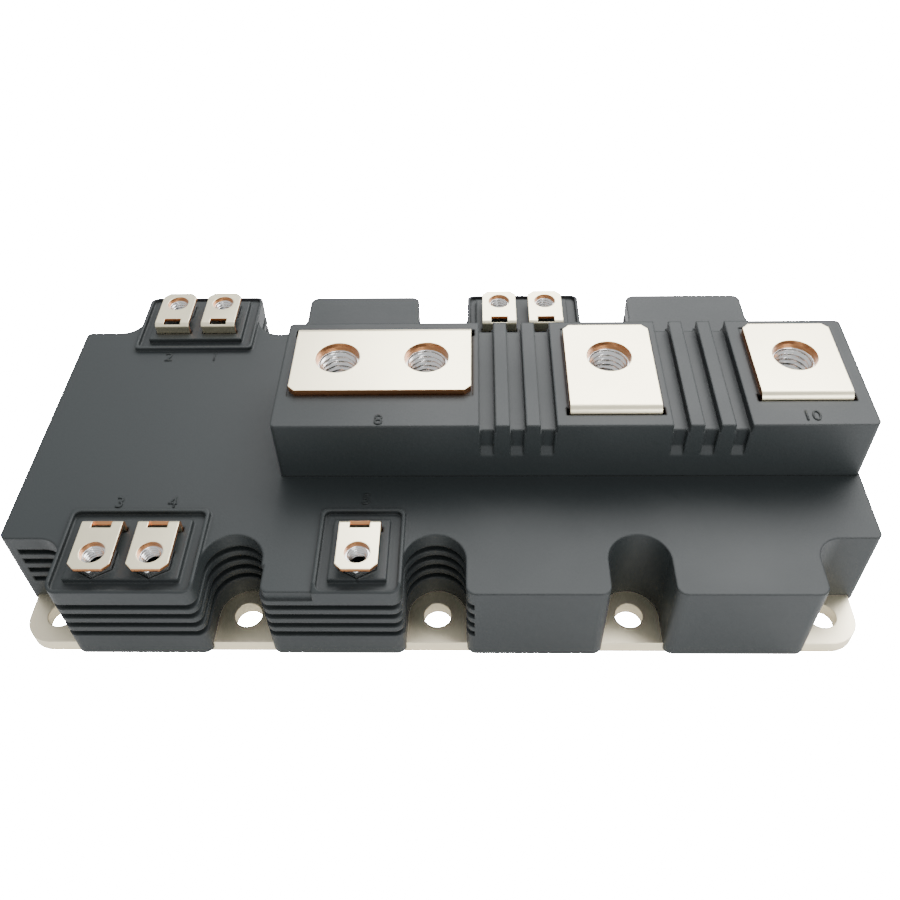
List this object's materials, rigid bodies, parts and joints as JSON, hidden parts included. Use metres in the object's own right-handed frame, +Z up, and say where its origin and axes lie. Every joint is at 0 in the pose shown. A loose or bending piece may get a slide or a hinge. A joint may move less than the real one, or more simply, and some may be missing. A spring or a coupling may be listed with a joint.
{
  "type": "igbt power module",
  "caption": "Half-bridge IGBT power module with a plated base plate, dark ribbed housing, raised screw terminals and small control terminals.",
  "frame": {"origin": "middle of the mounting face under the base plate", "axes": "+X along the length towards the output terminal, +Y across the width towards the rear row of screws, +Z up from the mounting face"},
  "size_m": [0.172, 0.089, 0.038],
  "materials": {
    "nickel_plate": "satin nickel plating over copper",
    "housing_plastic": "dark charcoal thermoplastic with a fine moulded grain",
    "terminal_nickel": "satin nickel plating with bare copper edges",
    "nut_steel": "bright zinc",
    "copper": "bare copper",
    "solder": "dull solder",
    "ceramic": "white ceramic",
    "silicon": "dark polished silicon",
    "sensor_body": "black ceramic chip",
    "clear_gel": "clear soft silicone"
  },
  "bodies": {
    "root": {"base_plate": "nickel_plate", "housing": "housing_plastic", "terminal_block": "housing_plastic", "terminal_8": "terminal_nickel", "terminal_9": "terminal_nickel", "terminal_10": "terminal_nickel", "terminal_1": "terminal_nickel", "terminal_2": "terminal_nickel", "terminal_3": "terminal_nickel", "terminal_4": "terminal_nickel", "terminal_5": "terminal_nickel", "terminal_6": "terminal_nickel", "terminal_7": "terminal_nickel", "main_nuts": "nut_steel", "control_nuts": "nut_steel", "solder_layers": "solder", "back_copper": "copper", "ceramics": "ceramic", "circuit_copper": "copper", "switch_chips": "silicon", "diode_chips": "silicon", "thermistor": "sensor_body", "silicone_gel": "clear_gel"}
  },
  "joints": []
}
